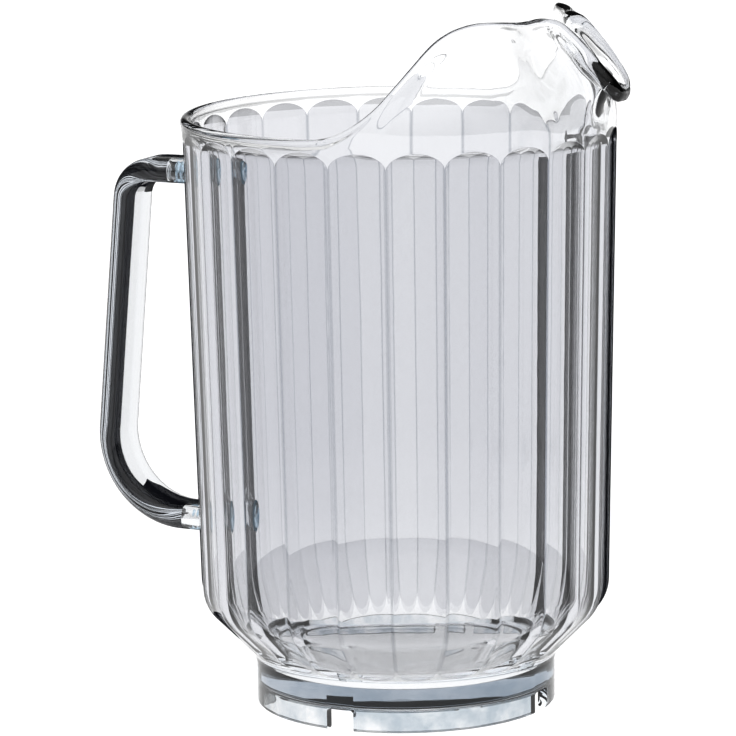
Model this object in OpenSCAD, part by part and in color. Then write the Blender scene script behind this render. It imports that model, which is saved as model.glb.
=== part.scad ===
// Clear beer pitcher: a fluted vessel on a notched foot, with a domed splash hood, a pinched pouring
// beak and a strap handle that two screws hold from inside. Millimetres, +Z up, the origin on the
// vessel's axis at the table, the beak towards +X and the handle towards -X.

/* [Vessel] */
// Outside radius of the rim
rim_r = 65.5; // [60:0.5:72]
// Height of the rim on the handle side
rim_h = 180; // [165:1:200]
// Thickness of the wall, over the ridges
wall_t = 3.2; // [2.6:0.1:3.8]
// Lean of the wall from upright, degrees
wall_lean = 1.28; // [0.8:0.02:1.8]
// Height of the straight band inside the rim, where a lid can plug in
mouth_band = 6; // [4:0.5:10]
// Radius of the bead that finishes the rim
bead_r = 1.9; // [1.7:0.1:2.2]
// Slope of the shoulder from upright, degrees
shoulder_lean = 45; // [40:1:50]
// Height where the slope of the shoulder meets the foot
shoulder_h = 15; // [14:0.5:17]
// Radius of the turn from the wall to the shoulder
shoulder_r = 14; // [10:1:17]

/* [Flutes] */
// Number of flutes round the wall
flute_count = 24; // [20:2:28]
// Depth of a flute below its ridges
flute_depth = 0.8; // [0.65:0.05:1.2]
// Height of the arch that ends a flute
flute_arch_h = 5; // [3.5:0.5:6]
// Plain band between the rim and the arches
flute_gap = 3.4; // [3.2:0.1:5]
// Straight pieces across a flute
flute_steps = 4; // [4:2:8]
// Rows up an arch
arch_steps = 4; // [3:1:6]
// Rows round the turn of the shoulder
turn_steps = 5; // [4:1:8]
// Rows round the fillet above the foot
fillet_steps = 3; // [2:1:5]

/* [Foot] */
// Outside radius of the foot
foot_r = 45.5; // [42:0.5:48]
// Thickness of the foot's skirt
skirt_t = 3; // [2.4:0.1:4]
// Height of the hollow under the floor
recess_h = 7; // [6:0.5:8]
// Thickness of the floor
floor_t = 5; // [4:0.5:6]
// Step from the round foot out to the shoulder's fillet
foot_ledge = 0.4; // [0.3:0.1:1]
// Radius of the fillet between the shoulder and the foot
foot_fillet_r = 4; // [2:0.5:5]
// Radius of the corner between the floor and the slope, inside
floor_corner_r = 6; // [3:1:8]
// Width of a drain notch
notch_w = 8.8; // [6:0.2:11]
// Height of a drain notch
notch_h = 6.4; // [5:0.1:6.8]
// Number of drain notches
notch_count = 4; // [3:1:6]

/* [Hood] */
// Radius of the dome's meridian, which starts upright at the rim
hood_r = 40; // [37:1:46]
// Height of the crest above the rim
hood_h = 32.1; // [26:0.1:34]
// Distance of the crest's start from the axis, towards the beak
crest_x = 42; // [38:0.5:46]
// Fall of the crest from its start to the neck
crest_fall = 1.8; // [0.5:0.1:3]
// Straight pieces that follow the cheek's curve
cheek_steps = 16; // [8:1:24]

/* [Beak] */
// Reach of the pouring tip from the axis
tip_x = 74.5; // [72:0.5:79]
// Height of the pouring tip above the rim
tip_h = 8.7; // [7:0.1:11]
// Distance of the neck from the axis
neck_x = 57; // [55:0.5:59]
// Half width of the beak at the neck, outside
neck_half_w = 10; // [9:0.2:11.4]
// Length of the flare from the neck back to the mouth
flare_l = 12; // [10:0.5:14]
// Half width of the flare at the mouth, outside
flare_half_w = 28; // [25:0.5:30]
// Radius of the beak's round keel, outside
keel_r = 7.8; // [6.8:0.1:8.6]
// Height of the thicker band along the pouring edge
lip_band = 4.4; // [3:0.2:6]
// Amount that the band stands proud of the beak
lip_proud = 0.9; // [0.5:0.1:1.4]
// Thickness of the beak's wall
beak_t = 2.6; // [2.2:0.1:3]

/* [Handle] */
// Width of the strap
handle_w = 17; // [14:0.5:20]
// Thickness of the strap
handle_t = 7.2; // [6.6:0.1:8]
// Distance of the upper arm's middle below the rim
upper_arm_drop = 20.7; // [17:0.1:30]
// Height of the lower arm's middle
lower_arm_h = 51; // [47:0.5:58]
// Straight length of the upper arm
upper_arm_l = 16; // [13.5:0.5:24]
// Lean of the grip from upright, degrees
grip_lean = 5.4; // [2:0.2:8]
// Radius of the upper bend, at the strap's middle
upper_bend_r = 9.5; // [7:0.5:14]
// Radius of the lower bend, at the strap's middle
lower_bend_r = 24.8; // [16:0.2:28]
// Amount that the bosses under the arms stand proud of the wall's ridges
boss_proud = 1.2; // [0.8:0.1:2]
// Straight pieces round each edge of the strap
round_steps = 10; // [8:1:14]
// Straight pieces round the upper bend
upper_bend_steps = 10; // [6:1:16]
// Straight pieces round the lower bend
lower_bend_steps = 14; // [8:1:20]

/* [Fixings] */
// Diameter of the screws
screw_d = 4; // [3:0.1:4.4]
// Length of screw in the handle
screw_bite = 10; // [7:0.5:11]
// Diameter of the screw heads
head_d = 8; // [7:0.1:9]
// Height of the screw heads
head_h = 2.4; // [2:0.1:3]
// Width of the cross slot in the heads
slot_w = 1.2; // [0.8:0.1:1.6]
// Depth of the cross slot
slot_depth = 1.2; // [0.8:0.1:1.5]
// Diameter of the sealing washers
washer_d = 10; // [9.4:0.1:11.4]
// Thickness of the sealing washers
washer_t = 1.2; // [0.8:0.1:2]
// Room all round the screws in the wall
wall_play = 0.2; // [0.1:0.05:0.3]
// Room all round the screws in the handle
handle_play = 0.05; // [0.03:0.01:0.1]
// Room between the washers and the edge of their seats
seat_play = 0.5; // [0.3:0.1:1]
// Depth of the washers' flat seats in the wall
seat_depth = 0.3; // [0.25:0.05:0.5]

/* [Hidden] */
$fn = 96;
// Overrun of every cut
over = 1;
// Depth that bosses and bead reach into the wall before the inside is cut away
root = wall_t;
// Clear plastic
clear = [0.86, 0.89, 0.94, 0.5];
steel = [0.62, 0.66, 0.72];
rubber = [0.2, 0.22, 0.25];

// How far the cheek's curve runs level before it climbs and after it, as shares of crest_x
cheek_level_shares = [0.62, 0.67];
// Start of the flutes on the slope: places up the arch's height and the depth there, as shares
flute_fade_shares = [[0.1, 0.2], [0.45, 0.75], [1, 1]];
// Height of the arch at a ridge, as a share of its height in the middle
arch_sliver_share = 0.06;
// Length of the slot across a screw head, as a share of the head
slot_length_share = 0.62;
// Depth of the hood's base below the rim, as a share of the bead's radius
hood_base_share = 1.4;
// Inner end of the beak's blank, as a share of the lip's length
beak_depth_share = 1.25;

floor_h = recess_h + floor_t;
flute_columns = flute_count * flute_steps;
wall_top = rim_h - bead_r;
upper_arm_h = rim_h - upper_arm_drop;
hood_base = bead_r * hood_base_share;
flute_end_r = (pow(flute_arch_h, 2) + pow(flute_depth, 2)) / (2 * flute_depth);

// Radius of the wall's ridges at a height, moved in from the surface by inset
function wall_x(z, inset = 0) = rim_r - (rim_h - z) * tan(wall_lean) - inset / cos(wall_lean);

// Radius of the shoulder's slope at a height, moved in likewise
function slope_x(z, inset = 0) = foot_r + (z - shoulder_h) * tan(shoulder_lean) - inset / cos(shoulder_lean);

// Height where the wall meets the slope, both moved in likewise
function corner_z(inset = 0) =
    (wall_x(0, inset) - slope_x(0, inset)) / (tan(shoulder_lean) - tan(wall_lean));

function corner(inset = 0) = [wall_x(corner_z(inset), inset), corner_z(inset)];

// Middle of the turn from the wall to the slope
turn = corner(shoulder_r);

// Unit vector square to a line that leans outwards going up
function outward(lean) = [cos(lean), -sin(lean)];

// Radius of the mouth inside, and of the dome's meridian, which starts from it
mouth_r = wall_x(rim_h - mouth_band, wall_t);
inner_hood_r = mouth_r - rim_r + hood_r;

// Corner that the rounded turn leaves off, on a surface moved in by inset
module turn_waste(inset) {
    r = shoulder_r - inset;
    difference() {
        polygon([
            turn + r * outward(wall_lean),
            corner(inset) + over * outward(shoulder_lean),
            turn + r * outward(shoulder_lean)
        ]);
        translate(turn) circle(r);
    }
}

// Corner that the rounded edge of the floor leaves off the inside
module floor_corner_waste() {
    edge = [slope_x(floor_h, wall_t), floor_h];
    leg = floor_corner_r * tan((90 - shoulder_lean) / 2);
    difference() {
        polygon([
            edge - [leg, 0],
            edge + over * outward(shoulder_lean),
            edge + leg * [sin(shoulder_lean), cos(shoulder_lean)]
        ]);
        translate(edge + [-leg, floor_corner_r]) circle(floor_corner_r);
    }
}

// Half of the inside of vessel and hood
module cavity_section() {
    difference() {
        polygon([
            [0, floor_h],
            [slope_x(floor_h, wall_t), floor_h],
            corner(wall_t),
            [mouth_r, rim_h - mouth_band],
            [mouth_r, rim_h],
            [0, rim_h]
        ]);
        turn_waste(wall_t);
        floor_corner_waste();
    }
    translate([0, rim_h]) intersection() {
        union() {
            translate([rim_r - hood_r, 0]) circle(inner_hood_r);
            translate([0, -inner_hood_r]) square([rim_r - hood_r, 2 * inner_hood_r]);
        }
        square([rim_r, hood_h + over]);
    }
}

// Half of the dome, from its base, which narrows inside the bead, to above the crest
module dome_section() {
    translate([rim_r - hood_r, rim_h]) intersection() {
        circle(hood_r);
        polygon([
            [0, -hood_base],
            [hood_r - bead_r, -hood_base],
            [hood_r + bead_r, hood_base],
            [hood_r + bead_r, hood_h + over],
            [0, hood_h + over]
        ]);
    }
}

// Rows of the outside below the arches, from the foot's ledge up: a point on the ridges, the lean of the
// surface there and the share of the flutes' depth
fillet_leg = foot_fillet_r * tan(shoulder_lean / 2);
ledge_corner = [foot_r + foot_ledge, shoulder_h + foot_ledge / tan(shoulder_lean)];
fillet_middle = ledge_corner + [foot_fillet_r, -fillet_leg];
slope_run = [sin(shoulder_lean), cos(shoulder_lean)];
slope_start = ledge_corner + fillet_leg * slope_run;
arch_foot_h = rim_h - flute_gap - flute_arch_h;
outside_rows = concat(
    [
        for (i = [0 : fillet_steps])
            let (a = shoulder_lean * i / fillet_steps)
                [fillet_middle + foot_fillet_r * [-cos(a), sin(a)], a, 0]
    ],
    [
        for (fade = flute_fade_shares)
            [slope_start + flute_arch_h * fade[0] * slope_run, shoulder_lean, fade[1]]
    ],
    [
        for (i = [0 : turn_steps])
            let (a = shoulder_lean + (wall_lean - shoulder_lean) * i / turn_steps)
                [turn + shoulder_r * outward(a), a, 1]
    ],
    [[[wall_x(arch_foot_h), arch_foot_h], wall_lean, 1]]
);

// Place of a column across its flute: 0 in the middle, 1 on a ridge
function across(c) = 1 - abs(1 - 2 * (c % flute_steps) / flute_steps);

// Depth of a flute at a column, where the ridges have radius x
function depth_at(c, x) = flute_depth * pow(x / rim_r, 2) * (1 - pow(across(c), 2));

// Height of the arch over a column, a sliver at the ridges
function arch_at(c) =
    let (g = depth_at(c, rim_r))
        max(sqrt(2 * flute_end_r * g - g * g), flute_arch_h * arch_sliver_share);

// Depth left in the arch, at a share of the way up a column
function arch_depth(c, share) =
    max(0, depth_at(c, rim_r) - flute_end_r + sqrt(pow(flute_end_r, 2) - pow(arch_at(c) * share, 2)));

// Point of the outside: column c, a point on the ridges, the lean there and the depth below them
function outside_point(c, p, lean, depth) =
    let (az = 360 * c / flute_columns, q = p - depth * outward(lean))
        [q[0] * cos(az), q[0] * sin(az), q[1]];

function arch_point(c, share) =
    let (z = arch_foot_h + arch_at(c) * share)
        outside_point(c, [wall_x(z), z], wall_lean, arch_depth(c, share));

// Solid within the fluted outside, from the foot's ledge to the rim's bead
module fluted_vessel() {
    n = flute_columns;
    points = concat(
        [for (row = outside_rows, c = [0 : n - 1])
            outside_point(c, row[0], row[1], row[2] * depth_at(c, row[0][0]))],
        [for (i = [1 : arch_steps], c = [0 : n - 1]) arch_point(c, i / arch_steps)],
        [for (c = [0 : n - 1]) outside_point(c, [wall_x(wall_top), wall_top], 0, 0)]
    );
    last = len(points) / n - 1;
    sides = [
        for (k = [0 : last - 1], c = [0 : n - 1], half = [0, 1])
            let (a = k * n + c, b = k * n + (c + 1) % n)
                half == 0 ? [a, b + n, b] : [a, a + n, b + n]
    ];
    ends = [[for (c = [0 : n - 1]) c], [for (c = [0 : n - 1]) last * n + n - 1 - c]];
    polyhedron(points, concat(sides, ends));
}

module rim_bead() {
    rotate_extrude() translate([rim_r - wall_t / 2, rim_h - bead_r]) circle(bead_r);
}

// Height and reach of the pouring edge, from the neck down to the tip
neck = [neck_x, hood_h - crest_fall];
tip = [tip_x, tip_h];
lip_l = norm(neck - tip);
// Rise of the beak, square to the pouring edge, degrees
beak_rise = atan2(tip[0] - neck[0], neck[1] - tip[1]);
beak_depth = lip_l * beak_depth_share;

function bezier(p, t) =
    pow(1 - t, 3) * p[0] + 3 * t * pow(1 - t, 2) * p[1] + 3 * t * t * (1 - t) * p[2] + pow(t, 3) * p[3];

// Side outline that trims the hood: the cheek's S-curve, the crest and the pouring edge
module hood_outline() {
    cheek = [
        [0, -bead_r],
        [crest_x * cheek_level_shares[0], -bead_r],
        [crest_x * cheek_level_shares[1], hood_h],
        [crest_x, hood_h]
    ];
    far = tip + (tip - neck);
    polygon(concat(
        [[0, -2 * bead_r]],
        [for (i = [0 : cheek_steps]) bezier(cheek, i / cheek_steps)],
        [neck, far, [far[0], -2 * bead_r]]
    ));
}

// Turns of the beak's sides from its middle: along the pouring edge, and along the mouth's flare
neck_turn = atan2(neck_half_w - keel_r, lip_l - keel_r);
flare_turn = atan2(flare_half_w - neck_half_w, flare_l);

// One side of the beak's section, moved in by inset: the keel, the neck and the end of the flare
function beak_side(inset) =
    let (mean = (flare_turn + neck_turn) / 2, half = (flare_turn - neck_turn) / 2)
        [
            [-keel_r, keel_r - inset],
            [-lip_l, neck_half_w] - inset / cos(half) * [sin(mean), cos(mean)],
            [-lip_l - flare_l, flare_half_w] - inset * [sin(flare_turn), cos(flare_turn)]
        ];

// Cross-section of the beak, square to its run, with the tip at the origin
module beak_section(inset) {
    side = beak_side(inset);
    translate([-keel_r, 0]) circle(keel_r - inset);
    polygon(concat(side, [for (i = [2 : -1 : 0]) [side[i][0], -side[i][1]]]));
}

// Places a run of the beak's section, from below the pouring edge to past it
module beak_run(depth, inset, past) {
    translate([tip[0], 0, rim_h + tip[1]]) rotate([0, 90 - beak_rise, 0])
        translate([0, 0, -depth]) linear_extrude(depth + past) beak_section(inset);
}

module hood_blank() {
    intersection() {
        union() {
            rotate_extrude() dome_section();
            beak_run(beak_depth, 0, over);
            beak_run(lip_band, -lip_proud, over);
        }
        translate([0, rim_r, rim_h]) rotate([90, 0, 0]) linear_extrude(2 * rim_r) hood_outline();
    }
}

// Flat end of a boss, where an arm seats
function boss_x(z) = wall_x(z + handle_t / 2) + boss_proud;

// Round-edged cross-section of the strap
module strap_section() {
    flat = handle_w - handle_t;
    translate([-flat / 2, -handle_t / 2]) square([flat, handle_t]);
    for (side = [-1, 1]) translate([side * flat / 2, 0]) circle(handle_t / 2);
}

// Run of strap straight outwards from a radius
module strap_out(from, length, z) {
    translate([from, 0, z]) rotate([90, 0, 90]) linear_extrude(length) strap_section();
}

// Bore or seat that runs outwards through the wall on the handle's side
module cut_out(from, length, d, z) {
    translate([from, 0, z]) rotate([0, 90, 0]) cylinder(d = d, h = length);
}

// Inner face of the wall's flat seat for a washer
function seat_x(z) = wall_x(z, wall_t) + seat_depth;

module handle_side() {
    rotate([0, 0, 180]) children();
}

module body() {
    color(clear) difference() {
        union() {
            cylinder(r = foot_r, h = fillet_middle[1] + over);
            fluted_vessel();
            rim_bead();
            hood_blank();
            handle_side() for (z = [upper_arm_h, lower_arm_h])
                strap_out(wall_x(z) - root, boss_x(z) - wall_x(z) + root, z);
        }
        rotate_extrude() cavity_section();
        beak_run(beak_depth + over, beak_t, 2 * over);
        translate([0, 0, -over]) cylinder(r = foot_r - skirt_t, h = recess_h + over);
        for (i = [0 : notch_count - 1]) rotate([0, 0, i * 360 / notch_count])
            translate([0, -notch_w / 2, -over]) cube([foot_r + over, notch_w, notch_h + over]);
        handle_side() for (z = [upper_arm_h, lower_arm_h]) {
            cut_out(seat_x(z) - root, boss_x(z) - seat_x(z) + root + over, screw_d + 2 * wall_play, z);
            cut_out(seat_x(z) - root, root, washer_d + 2 * seat_play, z);
        }
    }
}

// Bends of the strap, from the first at the upper arm to the end of the lower arm
upper_bend = [boss_x(upper_arm_h) + upper_arm_l, upper_arm_h - upper_bend_r];
grip_l = (upper_arm_h - lower_arm_h - upper_bend_r - lower_bend_r
    + (upper_bend_r - lower_bend_r) * sin(grip_lean)) / cos(grip_lean);
grip_top = upper_bend + upper_bend_r * [cos(grip_lean), sin(grip_lean)];
grip_end = grip_top + grip_l * [sin(grip_lean), -cos(grip_lean)];
lower_bend = grip_end - lower_bend_r * [cos(grip_lean), sin(grip_lean)];

// Points round the strap's section, as [across the thickness, across the width]
strap_points = [
    for (side = [-1, 1], i = [0 : round_steps])
        let (a = 180 * i / round_steps)
            [-side * cos(a) * handle_t / 2, side * (sin(a) * handle_t + handle_w - handle_t) / 2]
];

// Stations along the strap's middle: a point in the XZ plane and the turn of the section there
strap_stations = concat(
    [[[boss_x(upper_arm_h), upper_arm_h], 90]],
    [
        for (i = [0 : upper_bend_steps])
            let (a = 90 - (90 - grip_lean) * i / upper_bend_steps)
                [upper_bend + upper_bend_r * [cos(a), sin(a)], a]
    ],
    [
        for (i = [0 : lower_bend_steps])
            let (a = grip_lean - (90 + grip_lean) * i / lower_bend_steps)
                [lower_bend + lower_bend_r * [cos(a), sin(a)], a]
    ],
    [[[boss_x(lower_arm_h), lower_arm_h], -90]]
);

// Strap swept along its stations
module strap() {
    n = len(strap_points);
    last = len(strap_stations) - 1;
    points = [
        for (s = strap_stations, q = strap_points)
            [s[0][0] + q[0] * cos(s[1]), q[1], s[0][1] + q[0] * sin(s[1])]
    ];
    sides = [
        for (k = [0 : last - 1], j = [0 : n - 1], half = [0, 1])
            let (a = k * n + j, b = k * n + (j + 1) % n)
                half == 0 ? [a, b, b + n] : [a, b + n, a + n]
    ];
    ends = [[for (j = [0 : n - 1]) n - 1 - j], [for (j = [0 : n - 1]) last * n + j]];
    polyhedron(points, concat(sides, ends));
}

module handle() {
    color(clear) handle_side() difference() {
        strap();
        for (z = [upper_arm_h, lower_arm_h])
            cut_out(boss_x(z) - over, screw_bite + 2 * over, screw_d + 2 * handle_play, z);
    }
}

// Pan-head screw, driven outwards from inside the vessel
module handle_screw(z) {
    seat = seat_x(z) - washer_t;
    color(steel) handle_side() difference() {
        union() {
            cut_out(seat - head_h, head_h, head_d, z);
            cut_out(seat, boss_x(z) + screw_bite - seat, screw_d, z);
        }
        for (turned = [0, 90]) translate([seat - head_h, 0, z]) rotate([turned, 0, 0])
            translate([-over, -head_d * slot_length_share / 2, -slot_w / 2])
            cube([slot_depth + over, head_d * slot_length_share, slot_w]);
    }
}

// Soft ring that seals the wall under a screw head
module sealing_washer(z) {
    color(rubber) handle_side() difference() {
        cut_out(seat_x(z) - washer_t, washer_t, washer_d, z);
        cut_out(seat_x(z) - washer_t - over, washer_t + 2 * over, screw_d + 2 * handle_play, z);
    }
}

body();
handle();
handle_screw(upper_arm_h);  // upper_handle_screw
handle_screw(lower_arm_h);  // lower_handle_screw
sealing_washer(upper_arm_h);  // upper_sealing_washer
sealing_washer(lower_arm_h);  // lower_sealing_washer
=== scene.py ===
import math

import bpy
import numpy as np
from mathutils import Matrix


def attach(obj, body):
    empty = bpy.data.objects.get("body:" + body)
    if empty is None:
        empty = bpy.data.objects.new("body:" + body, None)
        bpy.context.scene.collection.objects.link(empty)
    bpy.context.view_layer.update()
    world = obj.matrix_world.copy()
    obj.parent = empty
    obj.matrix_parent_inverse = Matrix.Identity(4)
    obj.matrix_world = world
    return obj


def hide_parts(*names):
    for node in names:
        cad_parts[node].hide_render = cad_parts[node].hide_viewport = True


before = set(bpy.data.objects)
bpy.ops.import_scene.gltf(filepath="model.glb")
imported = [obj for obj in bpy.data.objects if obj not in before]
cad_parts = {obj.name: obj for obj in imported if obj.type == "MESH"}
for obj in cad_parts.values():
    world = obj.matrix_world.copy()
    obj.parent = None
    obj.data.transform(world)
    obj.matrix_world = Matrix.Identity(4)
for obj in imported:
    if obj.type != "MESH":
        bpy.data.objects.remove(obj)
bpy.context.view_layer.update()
bpy.ops.object.select_all(action="DESELECT")

# Camera of the photograph: a long lens from in front and above, towards the beak's side,
# with a slight roll. Its place and turn come from the fit of rim, foot and wall edges.
bpy.ops.object.camera_add(
    location=(0.6370, -1.3060, 0.3713),
    rotation=[math.radians(a) for a in (79.514, 0.817, 26.256)],
)
camera = bpy.context.object
camera.name = "photo_camera"
camera.data.lens = 238.7
camera.data.sensor_width = 36.0
bpy.context.scene.camera = camera


# Pale studio floor, lit from below like a light table: it is also the backdrop, since the camera
# looks down on it, and its own glow keeps it white right up to the foot.
def matt_paint(name, colour, roughness):
    """Paint without any gloss, and its shader."""
    made = bpy.data.materials.new(name)
    made.use_nodes = True
    shader = made.node_tree.nodes["Principled BSDF"]
    shader.inputs["Base Color"].default_value = colour
    shader.inputs["Roughness"].default_value = roughness
    shader.inputs["Specular IOR Level"].default_value = 0.0
    return made, shader


bpy.ops.mesh.primitive_plane_add(size=12.0, location=(0, 0, 0))
floor = bpy.context.object
floor.name = "studio_floor"
studio_white, white_shader = matt_paint("studio_white", (0.2, 0.2, 0.203, 1), 0.9)
white_shader.inputs["Emission Color"].default_value = (1.0, 1.0, 1.0, 1)
white_shader.inputs["Emission Strength"].default_value = 0.97
floor.data.materials.append(studio_white)


# Soft light: a white sweep behind and a bright ceiling in a dimmer room, so that the clear edges
# draw as dark lines.
class Sock:
    """A node socket that takes part in Python sums; each operator adds a Math node."""

    def __init__(self, tree, socket):
        self.tree, self.socket = tree, socket

    def node(self, kind, settings=None, out=0, **links):
        """New node: its settings first, then its sockets by name, or by number as i0, i1."""
        made = self.tree.nodes.new(kind)
        for key, value in (settings or {}).items():
            setattr(made, key, value)
        for key, value in links.items():
            by_number = key[0] == "i" and key[1:].isdigit()
            target = made.inputs[int(key[1:]) if by_number else key.replace("_", " ")]
            if isinstance(value, Sock):
                self.tree.links.new(value.socket, target)
            else:
                target.default_value = value
        return Sock(self.tree, made.outputs[out])

    def math(self, operation, a, b):
        return self.node("ShaderNodeMath", {"operation": operation}, i0=a, i1=b)

    def __add__(self, other):
        return self.math("ADD", self, other)

    def __mul__(self, other):
        return self.math("MULTIPLY", self, other)

    def __sub__(self, other):
        return self.math("SUBTRACT", self, other)

    def __rsub__(self, other):
        return self.math("SUBTRACT", other, self)

    def __lt__(self, other):
        return self.math("LESS_THAN", self, other)

    def __gt__(self, other):
        return self.math("GREATER_THAN", self, other)

    __radd__, __rmul__ = __add__, __mul__


world = bpy.data.worlds.new("studio_light")
bpy.context.scene.world = world
world.use_nodes = True
sky = world.node_tree
toward = Sock(sky, sky.nodes.new("ShaderNodeTexCoord").outputs["Generated"])


def soft_patch(way_to, dim_at, full_at, dim, full):
    """Light round a direction, from dim to full by how nearly a ray goes that way."""
    facing = toward.node("ShaderNodeVectorMath", {"operation": "DOT_PRODUCT"}, out=1,
                         i0=toward, i1=way_to)
    return toward.node("ShaderNodeMapRange", {"interpolation_type": "SMOOTHSTEP"}, Value=facing,
                       From_Min=dim_at, From_Max=full_at, To_Min=dim, To_Max=full)


ceiling = soft_patch((0.25, -0.51, 0.82), 0.4, 0.85, 0.05, 1.2)
sweep = soft_patch((-0.4367, 0.8954, -0.087), 0.955, 0.99, 0.0, 0.75)
sky.links.new((ceiling + sweep).socket, sky.nodes["Background"].inputs["Strength"])
sky.nodes["Background"].inputs["Color"].default_value = (1.0, 1.0, 1.0, 1)
bpy.context.scene.view_settings.view_transform = "Standard"
bpy.context.scene.view_settings.exposure = 0.09
bpy.context.scene.view_settings.gamma = 0.78

# Two dark cards close behind the pitcher's edges that only its clear walls see: they draw the black
# bands near the edges, as in any bright-field picture of clear plastic. They are low and narrow, so
# that little of them shows through the vessel from other sides.
CARD_H = 0.165
card_black, _ = matt_paint("card_black", (0.012, 0.013, 0.018, 1), 1.0)
view_turn = math.radians(26.0)
right = np.array([math.cos(view_turn), math.sin(view_turn), 0])
back = np.array([-math.sin(view_turn), math.cos(view_turn), 0])
for name, side_run in (
    ("left_edge", ((-0.084, 0.056), (-0.068, 0.047), (-0.059, 0.045), (-0.0595, 0.058))),
    ("right_edge", ((0.095, 0.046), (0.0565, 0.052), (0.056, 0.066))),
):
    bpy.ops.mesh.primitive_grid_add(x_subdivisions=len(side_run) - 1, y_subdivisions=1, size=1)
    card = bpy.context.object
    card.name = "dark_card_" + name
    feet = np.array([across_view * right + behind * back for across_view, behind in side_run])
    corners = np.concatenate([feet, feet + np.array([0, 0, CARD_H])])
    card.data.vertices.foreach_set("co", corners.astype(np.float32).ravel())
    card.data.materials.append(card_black)
    card.visible_camera = False
    card.visible_diffuse = False
    card.visible_shadow = False

# Body: vessel, foot, hood and beak moulded in one from clear plastic, with a rounded free edge.
# Millimetres here, from the same sizes as the solids; the mesh is scaled to metres at the end.
MM = 0.001
RIM_R, RIM_H, WALL_T, LEAN = 65.5, 180.0, 3.2, math.radians(1.28)
FOOT_R, SKIRT_T, RECESS_H, FLOOR_T = 45.5, 3.0, 7.0, 5.0
RECESS_CORNER_R, FOOT_EDGE_R, FLOOR_CORNER_R = 1.5, 0.7, 6.0
FOOT_FILLET_R, FOOT_LEDGE = 4.0, 0.4
SHOULDER_H, SHOULDER_R, SLOPE = 15.0, 14.0, math.radians(45)
FLUTES, FLUTE_DEPTH, RIDGE_SOFT = 24, 0.8, 0.08
ARCH_H, ARCH_GAP, ARCH_LEAST = 5.0, 3.4, 0.3
LOWER_ARCH_SHARE, LOWER_ARCH_GAP = 0.85, 0.2
DOME_R = 40.0
BAND_Z = RIM_H - 2.4


def wall_x(z, inset=0.0):
    return RIM_R - (RIM_H - z) * math.tan(LEAN) - inset / math.cos(LEAN)


def slope_x(z, inset=0.0):
    return FOOT_R + (z - SHOULDER_H) * math.tan(SLOPE) - inset / math.cos(SLOPE)


def corner(inset):
    """Where the wall and the shoulder's slope meet, both set in by the same amount."""
    z = (wall_x(0, inset) - slope_x(0, inset)) / (math.tan(SLOPE) - math.tan(LEAN))
    return np.array([wall_x(z, inset), z])


def arc(middle, radius, start, end, steps):
    angles = np.radians(np.linspace(start, end, steps + 1))
    return [np.array(middle) + radius * np.array([math.cos(a), math.sin(a)]) for a in angles]


def smooth(low, high, x):
    t = np.clip((np.asarray(x, float) - low) / (high - low), 0, 1)
    return t * t * (3 - 2 * t)


def through(knots, values, x):
    """Smooth curve through the values at the knots."""
    knots, values = np.array(knots, float), np.array(values, float)
    gaps = np.diff(knots)
    rises = np.diff(values, axis=0) / gaps[:, None]
    slopes = np.vstack([rises[:1], np.zeros_like(values[1:-1]), rises[-1:]])
    near, far = gaps[:-1, None], gaps[1:, None]
    slopes[1:-1] = (rises[:-1] * far + rises[1:] * near) / (near + far)
    i = np.clip(np.searchsorted(knots, x) - 1, 0, len(gaps) - 1)
    t = ((x - knots[i]) / gaps[i])[:, None]
    g = gaps[i][:, None]
    return ((1 + 2 * t) * (1 - t) ** 2 * values[i] + t * (1 - t) ** 2 * g * slopes[i]
            + t * t * (3 - 2 * t) * values[i + 1] + t * t * (t - 1) * g * slopes[i + 1])


# Columns round the body: closer at the ridges, and many more under the beak
half_flute = np.array([0, .15, .3, .45, .6, .75, .86, .92, .96, 1.0])
fine_flute = np.concatenate([np.linspace(0, .9, 19), [.92, .94, .96, .98, 1.0]])
turns = []
for flute in range(FLUTES):
    steps = fine_flute if flute in (0, 1, FLUTES - 1) else half_flute
    shares = np.concatenate([-steps[::-1], steps[1:-1]])
    turns.append((flute + shares / 2) * 360 / FLUTES)
turns = np.concatenate(turns)
turns = np.where(turns > 180, turns - 360, turns)
turns = np.sort(turns)
columns = len(turns)
cos_t, sin_t = np.cos(np.radians(turns)), np.sin(np.radians(turns))
# Share of the way from a flute's middle to its ridge, the flute's hollow and the arch that ends it
across = np.abs(((turns * FLUTES / 360 + 0.5) % 1) * 2 - 1)
scoop = 1 - across ** 2
ridge_fill = ((across - 1 + RIDGE_SOFT) / RIDGE_SOFT) ** 2 * RIDGE_SOFT
scoop += np.where(across > 1 - RIDGE_SOFT, ridge_fill, 0)
arch = np.maximum(ARCH_H * np.sqrt(np.clip(1 - across ** 2, 0, 1)), ARCH_LEAST)


def ring(rho, z):
    rho, z = np.broadcast_to(rho, columns), np.broadcast_to(z, columns)
    return np.stack([rho * cos_t, rho * sin_t, z], 1)


def fluted(point, lean, share):
    """Ring on the ridges' line at a point, sunk into the flutes by a share of their depth."""
    rho, z = point
    depth = FLUTE_DEPTH * (np.asarray(rho) / RIM_R) ** 2 * scoop * share
    return ring(rho - depth * math.cos(lean), z + depth * math.sin(lean))


rows = []
skirt_in = FOOT_R - SKIRT_T
# Hollow under the floor, the skirt's inside and its rounded foot
for rho in (0.0, 12.0, 26.0, 38.0):
    rows.append(ring(rho, RECESS_H))
recess_corner = (skirt_in - RECESS_CORNER_R, RECESS_H - RECESS_CORNER_R)
for p in (arc(recess_corner, RECESS_CORNER_R, 90, 0, 4)
          + arc((skirt_in + FOOT_EDGE_R, FOOT_EDGE_R), FOOT_EDGE_R, 180, 270, 4)
          + arc((FOOT_R - FOOT_EDGE_R, FOOT_EDGE_R), FOOT_EDGE_R, 270, 360, 4)):
    rows.append(ring(*p))
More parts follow.
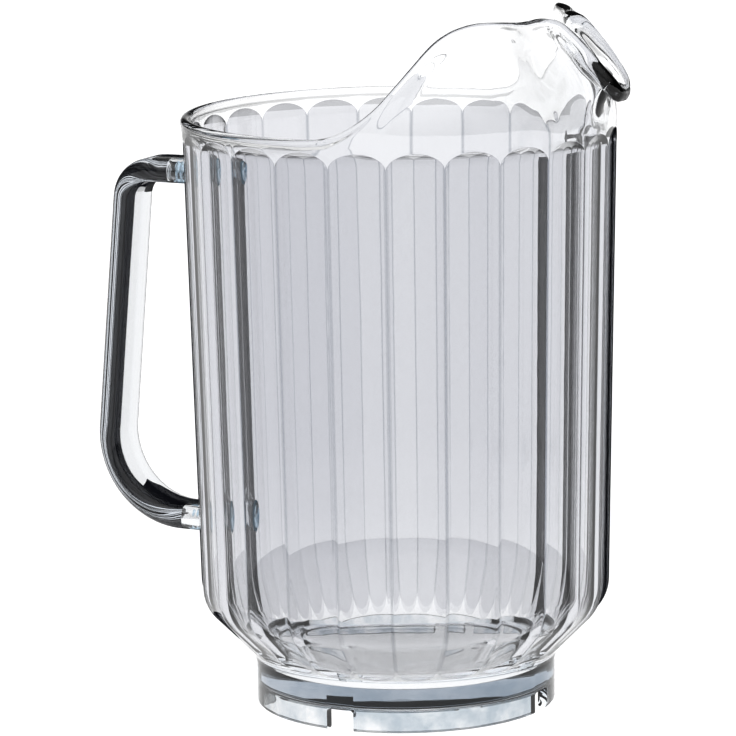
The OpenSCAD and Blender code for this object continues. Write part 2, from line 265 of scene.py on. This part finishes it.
# Foot, its ledge and fillet into the shoulder's slope, and the lower ends of the flutes
leg = FOOT_FILLET_R * math.tan(SLOPE / 2)
ledge_corner = np.array([FOOT_R + FOOT_LEDGE, SHOULDER_H + FOOT_LEDGE / math.tan(SLOPE)])
rows.append(ring(FOOT_R, ledge_corner[1] - leg))
for p in arc(ledge_corner + [FOOT_FILLET_R, -leg], FOOT_FILLET_R, 180, 135, 5):
    rows.append(ring(*p))
up_slope = np.array([math.sin(SLOPE), math.cos(SLOPE)])
slope_start = ledge_corner + leg * up_slope
for share in (1.04, 1.0, 0.96, 0.8, 0.6, 0.4, 0.2, 0.0):
    climb = ARCH_H - LOWER_ARCH_GAP - share * arch * LOWER_ARCH_SHARE
    point = (slope_start[0] + climb * up_slope[0], slope_start[1] + climb * up_slope[1])
    rows.append(fluted(point, SLOPE, max(1 - share ** 2, 0)))
# Turn of the shoulder and the straight wall
turn_middle = corner(SHOULDER_R)
for lean in np.linspace(SLOPE, LEAN, 11):
    point = turn_middle + SHOULDER_R * np.array([math.cos(lean), -math.sin(lean)])
    rows.append(fluted(point, lean, 1))
arch_foot = RIM_H - ARCH_GAP - ARCH_H
wall_foot = turn_middle[1] - SHOULDER_R * math.sin(LEAN)
for z in np.linspace(wall_foot, arch_foot, 6)[1:]:
    rows.append(fluted((wall_x(z), z), LEAN, 1))
# Arches that end the flutes below the rim
for share in (.1, .2, .3, .4, .5, .6, .7, .8, .9, .97, 1, 1.03, 1.1):
    z = arch_foot + share * arch
    rows.append(fluted((wall_x(z), z), LEAN, max(1 - share ** 2, 0)))

# Free edge, by the turn of the column below it: tip, pouring edge, neck, crest, cheek and rim
edge_knots = [0, 3, 5, 7.5, 9.5, 11, 12.5, 14, 17.5, 23.5, 29.5, 35.3, 41.9, 48.4, 54.4, 59.8, 65.6,
              69.9, 74.1, 78.4, 82.7, 90, 100, 140, 180]
edge_xyz = [(74.5, 0, 8.7), (74, 3.8, 9.5), (72.4, 6.2, 12.9), (67.5, 8, 19.2), (63, 8.5, 24.5),
            (59.5, 9, 28), (57.1, 9.5, 30), (55, 10.8, 30.6), (51.4, 14.5, 30.9), (47.1, 20.2, 31.6),
            (43.9, 24.8, 32), (40.3, 28.5, 32.1)]
cheek_zs = (31.5, 29.9, 26.8, 21.9, 15.4, 10.2, 6.2, 3.1, 1.0, 0, 0, 0, 0)
for turn, z in zip(edge_knots[len(edge_xyz):], cheek_zs):
    rho = RIM_R - DOME_R + math.sqrt(DOME_R ** 2 - z ** 2)
    edge_xyz.append((rho * math.cos(math.radians(turn)), rho * math.sin(math.radians(turn)), z))
# Degrees from the beak, and over which of them the lip, the dome, the crest and the rim take over
size_t = np.abs(turns)
on_dome = smooth(10.5, 27, size_t)[:, None]
lip = (1 - smooth(11, 19, size_t))[:, None]
crest = smooth(14, 34, size_t) * (1 - smooth(66, 90, size_t))
on_rim = smooth(84, 96, size_t)[:, None]
edge = through(edge_knots, edge_xyz, size_t)
rim_edge = RIM_R * np.stack([np.cos(np.radians(size_t)), np.sin(np.radians(size_t)),
                             np.zeros(columns)], 1)
edge = edge * (1 - on_rim) + rim_edge * on_rim
edge[:, 1] *= np.sign(turns)
edge[:, 2] += RIM_H

# Direction in which the wall reaches its edge: out along the beak, in over the dome, up at the rim
rise = np.clip((edge[:, 2] - RIM_H) / DOME_R, 0, 0.9)
dome_way = np.stack([-rise * cos_t, -rise * sin_t, np.sqrt(1 - rise ** 2)], 1)
beak_way = np.array([0.777, 0, 0.629])
way = beak_way * (1 - on_dome) + dome_way * on_dome
way /= np.linalg.norm(way, axis=1)[:, None]
# Outside of the hood and the beak: each column bows from the band below the rim up to its edge
EDGE_R, EDGE_R_MORE_AT_LIP, EDGE_R_LESS_AT_CREST = 1.45, 0.25, 0.35
RIM_TUCK = 0.05
edge_r = EDGE_R + EDGE_R_MORE_AT_LIP * lip[:, 0] - EDGE_R_LESS_AT_CREST * crest
foot_of_hood = ring(wall_x(BAND_Z), BAND_Z)
top = edge - way * edge_r[:, None]
top -= np.stack([cos_t, sin_t, np.zeros(columns)], 1) * (on_rim * RIM_TUCK)
height = np.linalg.norm(top - foot_of_hood, axis=1)[:, None]
dome_arm = 4 / 3 * np.tan(np.arcsin(rise) / 4)[:, None] * DOME_R
start_arm = dome_arm * on_dome + 0.36 * height * (1 - on_dome) + 0.9
start_arm = np.minimum(start_arm, height * 0.45)
end_arm = np.minimum(dome_arm * on_dome + 5.5 * (1 - on_dome), height * 0.42)
lean_out = math.sin(LEAN)
up = np.stack([lean_out * cos_t, lean_out * sin_t, np.full(columns, math.cos(LEAN))], 1)
bow = [foot_of_hood, foot_of_hood + up * start_arm, top - way * end_arm, top]
steps = np.concatenate([np.linspace(0, 0.7, 15), np.linspace(0.7, 1, 15)[1:]])
outer = np.array([(1 - t) ** 3 * bow[0] + 3 * t * (1 - t) ** 2 * bow[1]
                  + 3 * t * t * (1 - t) * bow[2] + t ** 3 * bow[3] for t in steps])
# Neck between dome and beak, eased round the body so that no crease stands in the wall
EASE_DEGREES = 4.5
apart = (turns[:, None] - turns[None] + 180) % 360 - 180
spread = np.exp(-0.5 * (apart / EASE_DEGREES) ** 2) * np.abs(np.gradient(turns))[None]
spread /= spread.sum(1)[:, None]
eased = np.einsum("ij,rjk->rik", spread, outer)
hold = (smooth(0, 0.3, steps) * (1 - smooth(0.8, 1, steps)))[:, None]
hold = hold * (1 - smooth(24, 40, size_t))[None]
outer = outer + (eased - outer) * hold[:, :, None]
around = np.roll(outer, -1, 1) - np.roll(outer, 1, 1)
along = np.gradient(outer, axis=0)
normal = np.cross(around, along)
normal /= np.linalg.norm(normal, axis=2)[:, :, None]
# Wall's thickness, thinner at the edge, with the bead and the lip's proud band
THIN_OVER, BEAD_PROUD, LIP_PROUD = 9, 0.22, 0.75
from_edge = np.cumsum(np.linalg.norm(np.diff(outer[::-1], axis=0), axis=2), axis=0)[::-1]
from_edge = np.vstack([from_edge, np.zeros((1, columns))])[:, :, None]
thick = WALL_T + (2 * edge_r[None, :, None] - WALL_T) * (1 - smooth(0, THIN_OVER, from_edge))
bead = BEAD_PROUD * (1 - crest)[None, :, None] * (1 - smooth(0.2, 1.8, from_edge))
proud = LIP_PROUD * lip[None] * (1 - smooth(1.2, 4.8, from_edge)) + bead * (1 - lip[None])
inner = outer - normal * (thick + bead)
outer = outer + normal * proud
rows.extend(outer)
cap_middle = (outer[-1] + inner[-1]) / 2
cap_half = (outer[-1] - inner[-1]) / 2
cap_r = np.linalg.norm(cap_half, axis=1)[:, None]
for t in np.radians(np.linspace(0, 180, 11)[1:-1]):
    rows.append(cap_middle + cap_half * math.cos(t) + way * cap_r * math.sin(t))
rows.extend(inner[::-1])
# Inside of the wall, its turn, the slope and the floor
inner_r = SHOULDER_R - WALL_T
inner_foot = turn_middle[1] - inner_r * math.sin(LEAN)
for z in np.linspace(BAND_Z - 4, inner_foot, 4)[:-1]:
    rows.append(ring(wall_x(z, WALL_T), z))
for lean in np.linspace(LEAN, SLOPE, 9):
    rows.append(ring(*(turn_middle + inner_r * np.array([math.cos(lean), -math.sin(lean)]))))
floor_z = RECESS_H + FLOOR_T
floor_leg = FLOOR_CORNER_R * math.tan((math.pi / 2 - SLOPE) / 2)
floor_corner = (slope_x(floor_z, WALL_T) - floor_leg, floor_z + FLOOR_CORNER_R)
for p in arc(floor_corner, FLOOR_CORNER_R, -45, -90, 6):
    rows.append(ring(*p))
for rho in (22.0, 10.0, 0.0):
    rows.append(ring(rho, floor_z))


def wrapped(name, points):
    """Closed piece from rows of points: each row runs round it, and the end rows are closed."""
    n_rows, n_columns = points.shape[:2]
    bpy.ops.object.select_all(action="DESELECT")
    bpy.ops.mesh.primitive_grid_add(x_subdivisions=n_columns, y_subdivisions=n_rows - 1, size=1)
    piece = bpy.context.object
    piece.name = piece.data.name = name
    closed = np.concatenate([points, points[:, :1]], 1).reshape(-1, 3)
    piece.data.vertices.foreach_set("co", (closed * MM).astype(np.float32).ravel())
    piece.data.update()
    bpy.ops.object.mode_set(mode="EDIT")
    bpy.ops.mesh.select_all(action="SELECT")
    bpy.ops.mesh.remove_doubles(threshold=1e-7)
    bpy.ops.mesh.select_all(action="DESELECT")
    bpy.ops.mesh.select_mode(type="EDGE")
    bpy.ops.mesh.select_non_manifold()
    bpy.ops.mesh.fill_holes(sides=0)
    bpy.ops.mesh.select_all(action="SELECT")
    bpy.ops.mesh.normals_make_consistent(inside=False)
    bpy.ops.object.mode_set(mode="OBJECT")
    return piece


def cut(piece, tool, operation):
    """Cut a tool out of a piece, or join it on, and take the tool away."""
    bpy.context.view_layer.objects.active = piece
    modifier = piece.modifiers.new("cut", "BOOLEAN")
    modifier.operation = operation
    modifier.solver = "MANIFOLD"
    modifier.object = tool
    bpy.ops.object.modifier_apply(modifier="cut")
    bpy.data.objects.remove(tool)


def dress(piece, finish, sharp):
    """Give a piece its material, and smooth its faces up to an angle in degrees."""
    piece.data.materials.clear()
    piece.data.materials.append(finish)
    bpy.ops.object.select_all(action="DESELECT")
    piece.select_set(True)
    bpy.context.view_layer.objects.active = piece
    bpy.ops.object.shade_smooth_by_angle(angle=math.radians(sharp))


body = wrapped("pitcher_body", np.array(rows))

# Drain notches in the foot's skirt, with rounded corners
NOTCH_W, NOTCH_H, NOTCH_L, NOTCH_CORNER_R = 8.8, 6.4, 20, 1.1
NOTCH_MIDDLE = 0.5 * FOOT_R + 18
for quarter in range(4):
    bpy.ops.object.select_all(action="DESELECT")
    bpy.ops.mesh.primitive_cube_add(size=1, location=(NOTCH_MIDDLE, 0, 0))
    notch = bpy.context.object
    notch.scale = (NOTCH_L, NOTCH_W, 2 * NOTCH_H)
    bpy.ops.object.transform_apply(location=True, rotation=False, scale=True)
    bpy.ops.object.mode_set(mode="EDIT")
    bpy.ops.mesh.select_all(action="SELECT")
    bpy.ops.mesh.bevel(offset=NOTCH_CORNER_R, segments=4, affect="EDGES")
    bpy.ops.object.mode_set(mode="OBJECT")
    notch.rotation_euler = (0, 0, quarter * math.pi / 2)
    notch.scale = (MM, MM, MM)
    notch.location = notch.location * MM
    bpy.ops.object.transform_apply()
    cut(body, notch, "DIFFERENCE")

# Bosses that carry the handle's arms, and the screws' bores and the washers' flat seats
ARM_ZS = (159.3, 51.0)
STRAP_W, STRAP_T, BOSS_PROUD, BOSS_ROOT, SEAT_DEPTH = 17.0, 7.2, 1.2, 1.6, 0.3
SHANK_HOLE_D, SEAT_D, CUT_INSIDE, CUT_PAST = 4.4, 11.0, 8, 2
ROUND_R, ROUND_HALF_WAY = 0.3, 0.09


def boss_x(z):
    return wall_x(z + STRAP_T / 2) + BOSS_PROUD


def seat_x(z):
    return wall_x(z, WALL_T) + SEAT_DEPTH


def strap_ring(inset=0.0):
    """Round-edged section of the strap: across its thickness and across its width."""
    half, flat = STRAP_T / 2 - inset, (STRAP_W - STRAP_T) / 2
    angles = np.radians(np.linspace(0, 180, 25))
    side = np.stack([half * np.cos(angles), flat + half * np.sin(angles)], 1)
    return np.concatenate([side, -side])


def bore(z, start, end, diameter):
    """Round cutter that runs out from the vessel's axis, from one radius to another."""
    bpy.ops.object.select_all(action="DESELECT")
    bpy.ops.mesh.primitive_cylinder_add(
        vertices=64, radius=diameter / 2 * MM, depth=(end - start) * MM,
        location=(-(start + end) / 2 * MM, 0, z * MM), rotation=(0, math.pi / 2, 0),
    )
    bpy.ops.object.transform_apply()
    return bpy.context.object


for arm_z in ARM_ZS:
    boss_end, inside = boss_x(arm_z), wall_x(arm_z) - CUT_INSIDE
    boss_rows = []
    for x, inset in ((wall_x(arm_z) - BOSS_ROOT, 0), (boss_end - ROUND_R, 0),
                     (boss_end - ROUND_HALF_WAY, ROUND_HALF_WAY), (boss_end, ROUND_R)):
        boss_rows.append([(-x, w, arm_z + t) for t, w in strap_ring(inset)])
    cut(body, wrapped("boss", np.array(boss_rows)), "UNION")
    cut(body, bore(arm_z, inside, boss_end + CUT_PAST, SHANK_HOLE_D), "DIFFERENCE")
    cut(body, bore(arm_z, inside, seat_x(arm_z), SEAT_D), "DIFFERENCE")

WATER_CLEAR = (0.996, 0.997, 0.998, 1)
# Painted shade: the flutes' darker and lighter greys, the dark lines along the ridges, and the foot
# skirt's blue-grey patches
FLUTE_SHADE_DARK, FLUTE_SHADE_LIGHT = (0.53, 0.535, 0.575, 1), (0.68, 0.685, 0.71, 1)
RIDGE_SHADE, FOOT_PAINTED_SHADE = (0.14, 0.16, 0.2, 1), (0.5, 0.57, 0.63, 1)
IN_DEPTH = (0.82, 0.84, 0.865, 1)


def clear_plastic(name, murk, flutes):
    """Water-clear plastic with faint flow marks; the flutes' faces carry painted grey shade and a
    slight haze.
    """
    made = bpy.data.materials.new(name)
    made.use_nodes = True
    tree = made.node_tree
    shader = tree.nodes["Principled BSDF"]
    place = Sock(tree, tree.nodes.new("ShaderNodeTexCoord").outputs["Object"])

    def noise(scale, detail, roughness):
        return place.node("ShaderNodeTexNoise", Vector=place, Scale=scale, Detail=detail,
                          Roughness=roughness)

    def by_number(number):
        return place.node("ShaderNodeTexWhiteNoise", {"noise_dimensions": "1D"}, W=number)

    def blend(share, first, second):
        return place.node("ShaderNodeMixRGB", Fac=share, Color1=first, Color2=second)

    flow = noise(26.0, 3.0, 0.5)
    # Fine smudges in the gloss; the same noise places the foot's patches of painted shade
    smudges_and_shade_patches = noise(70.0, 4.0, 0.6)
    gloss = 0.004 + 0.02 * smudges_and_shade_patches
    if flutes:
        parts = [place.node("ShaderNodeSeparateXYZ", out=i, Vector=place) for i in range(3)]
        x, y, z = (part * 1000.0 for part in parts)
        # Where on the flutes: the turn counted in flutes, and the way from middle to ridge
        turn = place.math("ARCTAN2", y, x) * (FLUTES / (2 * math.pi))
        aside = place.math("PINGPONG", turn, 0.5) * 2.0
        curve = place.math("SQRT", 1.0 - aside * aside, 0.0) * ARCH_H
        radius = place.math("SQRT", x * x + y * y, 0.0)
        skin_r = (RIM_R - WALL_T / 2 - RIM_H * math.tan(LEAN)) + z * math.tan(LEAN)
        # Painted shade, with a slight haze in the gloss, on the outside of the flutes, between their
        # arches and thinner near the shoulder
        below = z < curve + (RIM_H - ARCH_GAP - ARCH_H)
        above = (SHOULDER_H + 1.2 + ARCH_H) - curve < z
        outside = place.math("MAXIMUM", skin_r < radius, z < 36.0)
        thin = place.node("ShaderNodeMapRange", Value=z, From_Min=20.0, From_Max=70.0,
                          To_Min=0.6, To_Max=1.0)
        haze_and_shade = below * above * outside * thin
        # Painted shade: each flute a lighter or darker grey picked at random, with dark lines of
        # painted shade along the ridges
        ridge = place.node("ShaderNodeMapRange", {"interpolation_type": "SMOOTHSTEP"}, Value=aside,
                           From_Min=0.9, From_Max=0.99, To_Min=0.0, To_Max=0.9)
        flute_shade_pick = by_number(place.math("FLOOR", turn + 0.5, 0.0) + 0.37)
        ridge_shade_pick = by_number(place.math("FLOOR", turn, 0.0) + 0.61)
        flute_shade = blend(flute_shade_pick, FLUTE_SHADE_DARK, FLUTE_SHADE_LIGHT)
        face = blend(ridge * (0.5 + 0.6 * ridge_shade_pick), flute_shade, RIDGE_SHADE)
        hue = blend(haze_and_shade, WATER_CLEAR, face)
        # Patches of blue-grey painted shade on the outside of the foot's thick skirt
        patchy = place.node("ShaderNodeMapRange", Value=smudges_and_shade_patches, From_Min=0.4, From_Max=0.62,
                            To_Min=0.1, To_Max=0.9)
        hue = blend((z < 13.7) * (42.0 < radius) * patchy, hue, FOOT_PAINTED_SHADE)
        tree.links.new(hue.socket, shader.inputs["Base Color"])
        gloss = gloss + 0.02 * haze_and_shade
    else:
        shader.inputs["Base Color"].default_value = WATER_CLEAR
    tree.links.new(gloss.socket, shader.inputs["Roughness"])
    waves = place.node("ShaderNodeBump", Strength=0.06, Distance=0.002, Height=flow)
    tree.links.new(waves.socket, shader.inputs["Normal"])
    shader.inputs["Transmission Weight"].default_value = 1.0
    shader.inputs["IOR"].default_value = 1.53
    depth = tree.nodes.new("ShaderNodeVolumeAbsorption")
    depth.inputs["Color"].default_value = IN_DEPTH
    depth.inputs["Density"].default_value = murk
    tree.links.new(depth.outputs["Volume"], tree.nodes["Material Output"].inputs["Volume"])
    return made


dress(body, clear_plastic("clear_body_plastic", 40.0, True), 28)
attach(body, "root")
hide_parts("body")

# Handle: a solid strap with round edges, moulded by itself from the same clear plastic. Its two
# arms stand on the body's bosses, and blind bores take the screws.
ARM_L, GRIP_LEAN, UPPER_R, LOWER_R = 16.0, math.radians(5.4), 9.5, 24.8
JOINT_GAP, BLIND_BORE_L, BLIND_BORE_D = 0.04, 11, 4.1
upper_z, lower_z = ARM_ZS
upper_middle = np.array([boss_x(upper_z) + ARM_L, upper_z - UPPER_R])
out_of_grip = np.array([math.cos(GRIP_LEAN), math.sin(GRIP_LEAN)])
down_grip = np.array([math.sin(GRIP_LEAN), -math.cos(GRIP_LEAN)])
grip_drop = upper_z - lower_z - UPPER_R - LOWER_R + (UPPER_R - LOWER_R) * math.sin(GRIP_LEAN)
grip_top = upper_middle + UPPER_R * out_of_grip
grip_end = grip_top + grip_drop / math.cos(GRIP_LEAN) * down_grip
lower_middle = grip_end - LOWER_R * out_of_grip
# Stations along the strap: place of its middle, turn of its section in degrees, and inset
stations = []
for out, inset in ((0.0, ROUND_R), (ROUND_HALF_WAY, ROUND_HALF_WAY), (ROUND_R, 0.0), (5.0, 0.0),
                   (11.0, 0.0)):
    stations.append((boss_x(upper_z) + JOINT_GAP + out, upper_z, 90.0, inset))
grip_turn = math.degrees(GRIP_LEAN)
for turn in np.linspace(90, grip_turn, 22):
    way_out = np.array([math.cos(math.radians(turn)), math.sin(math.radians(turn))])
    stations.append((*(upper_middle + UPPER_R * way_out), turn, 0.0))
for share in np.linspace(0, 1, 9)[1:-1]:
    stations.append((*(grip_top + share * (grip_end - grip_top)), grip_turn, 0.0))
for turn in np.linspace(grip_turn, -90, 34):
    way_out = np.array([math.cos(math.radians(turn)), math.sin(math.radians(turn))])
    stations.append((*(lower_middle + LOWER_R * way_out), turn, 0.0))
for out, inset in ((ROUND_R, 0.0), (ROUND_HALF_WAY, ROUND_HALF_WAY), (0.0, ROUND_R)):
    stations.append((boss_x(lower_z) + JOINT_GAP + out, lower_z, -90.0, inset))
strap_rows = []
for x, z, turn, inset in stations:
    cos_s, sin_s = math.cos(math.radians(turn)), math.sin(math.radians(turn))
    strap_rows.append([(-(x + t * cos_s), w, z + t * sin_s) for t, w in strap_ring(inset)])
handle = wrapped("strap_handle", np.array(strap_rows))
for arm_z in ARM_ZS:
    arm_end = boss_x(arm_z)
    blind_bore = bore(arm_z, arm_end - CUT_PAST, arm_end + BLIND_BORE_L, BLIND_BORE_D)
    cut(handle, blind_bore, "DIFFERENCE")
dress(handle, clear_plastic("clear_handle_plastic", 60.0, False), 28)
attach(handle, "root")
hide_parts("handle")

# Screws: stainless pan heads with a cross recess inside the vessel, and a coarse thread in the arm.
# Turned and rolled, so the material is a bluish steel with fine marks round the axis.
HEAD_R, HEAD_H, HEAD_DOME_R, HEAD_DOME_SHARE = 4.0, 2.4, 4.6, 0.72
SHANK_R, CORE_R, THREAD_H, PITCH, BITE, POINT_L = 1.95, 1.42, 0.55, 1.4, 10.0, 1.6
CROSS_DEPTH, CROSS_L, CROSS_W = 2.2, 4.9, 1.2
WASHER_T = 1.2
ROUND_COUNT = 48
around_axis = np.radians(np.arange(ROUND_COUNT) * 360 / ROUND_COUNT)


def turned_row(x, r, arm_z):
    """Round of points about an arm's axis, at a distance from the vessel's axis."""
    return np.stack([np.full(ROUND_COUNT, -x), r * np.cos(around_axis),
                     arm_z + r * np.sin(around_axis)], 1)


def marked_finish(name, scale, stretch, detail, roughness, colours, dullness, bump):
    """Opaque finish whose colour, gloss and surface follow one fine noise, and its shader."""
    made = bpy.data.materials.new(name)
    made.use_nodes = True
    tree = made.node_tree
    shader = tree.nodes["Principled BSDF"]
    place = Sock(tree, tree.nodes.new("ShaderNodeTexCoord").outputs["Object"])
    if stretch:
        place = place.node("ShaderNodeMapping", Vector=place, Scale=stretch)
    marks = place.node("ShaderNodeTexNoise", Vector=place, Scale=scale, Detail=detail,
                       Roughness=roughness)
    shade = place.node("ShaderNodeMixRGB", Fac=marks, Color1=colours[0], Color2=colours[1])
    relief = place.node("ShaderNodeBump", Strength=bump[0], Distance=bump[1], Height=marks)
    tree.links.new(shade.socket, shader.inputs["Base Color"])
    tree.links.new((dullness[0] + dullness[1] * marks).socket, shader.inputs["Roughness"])
    tree.links.new(relief.socket, shader.inputs["Normal"])
    return made, shader


steel, steel_shader = marked_finish(
    "screw_steel_finish", scale=1.0, stretch=(9000.0, 900.0, 900.0), detail=4.0, roughness=0.6,
    colours=((0.5, 0.66, 0.78, 1), (0.72, 0.84, 0.92, 1)), dullness=(0.16, 0.2), bump=(0.2, 0.0001))
steel_shader.inputs["Metallic"].default_value = 1.0
for arm_z, place_name in zip(ARM_ZS, ("upper", "lower")):
    under_head = seat_x(arm_z) - WASHER_T
    top_of_head = under_head - HEAD_H
    thread_start, thread_end = boss_x(arm_z) + 0.4, boss_x(arm_z) + BITE - POINT_L
    profile = []
    for r in (0.05, 0.8, 1.6, 2.4, 3.0, 3.5, 3.8):
        fall = 1 - math.sqrt(1 - (r / HEAD_DOME_R) ** 2)
        profile.append((top_of_head + HEAD_H * fall * HEAD_DOME_SHARE, r))
    profile += [(top_of_head + 1.35, 3.95), (top_of_head + 1.7, HEAD_R), (under_head - 0.15, HEAD_R),
                (under_head, 3.85), (under_head, 2.15), (under_head + 0.2, SHANK_R),
                (thread_start, SHANK_R)]
    screw_rows = [turned_row(x, r, arm_z) for x, r in profile]
    for x in np.arange(thread_start + 0.15, thread_end + POINT_L, PITCH / 9):
        phase = (x / PITCH - around_axis / (2 * math.pi)) % 1
        thread = np.clip(1 - np.abs(phase - 0.5) * 3.2, 0, 1)
        grown = float(smooth(thread_start, thread_start + 1.2, x))
        taper = 1 - 0.62 * float(smooth(thread_end, thread_end + POINT_L, x))
        r = (CORE_R + THREAD_H * thread * grown) * taper
        r = np.maximum(r, SHANK_R * (1 - float(smooth(thread_start, thread_start + 0.5, x))))
        screw_rows.append(turned_row(x, r, arm_z))
    screw = wrapped(place_name + "_pan_head_screw", np.array(screw_rows))
    for turn in (0, math.pi / 2):
        bpy.ops.object.select_all(action="DESELECT")
        bpy.ops.mesh.primitive_cube_add(size=1, location=(-(top_of_head + 0.1) * MM, 0, arm_z * MM))
        slot = bpy.context.object
        slot.scale = (CROSS_DEPTH * MM, CROSS_L * MM, CROSS_W * MM)
        slot.rotation_euler = (turn, 0, 0)
        bpy.ops.object.transform_apply()
        cut(screw, slot, "DIFFERENCE")
    dress(screw, steel, 35)
    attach(screw, "root")
    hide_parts(place_name + "_handle_screw")

# Sealing washers: soft moulded rings pinched between the heads and the wall's flat seats. Blue-grey
# rubber with a dull, slightly dusty skin.
WASHER_ROUND_R = 0.3
rubber, _ = marked_finish(
    "washer_rubber_finish", scale=900.0, stretch=None, detail=5.0, roughness=0.65,
    colours=((0.05, 0.14, 0.21, 1), (0.12, 0.27, 0.37, 1)), dullness=(0.45, 0.25),
    bump=(0.3, 0.0002))
washer_section = []
for middle, start in (((4.7, 0.3), -90), ((4.7, 0.9), 0), ((2.35, 0.9), 90), ((2.35, 0.3), 180)):
    washer_section += arc(middle, WASHER_ROUND_R, start, start + 90, 4)
washer_section.append(washer_section[0])
for arm_z, place_name in zip(ARM_ZS, ("upper", "lower")):
    washer_face = seat_x(arm_z) - WASHER_T
    washer_rows = [turned_row(washer_face + x, r, arm_z) for r, x in washer_section]
    washer = wrapped(place_name + "_rubber_washer", np.array(washer_rows))
    dress(washer, rubber, 40)
    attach(washer, "root")
    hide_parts(place_name + "_sealing_washer")
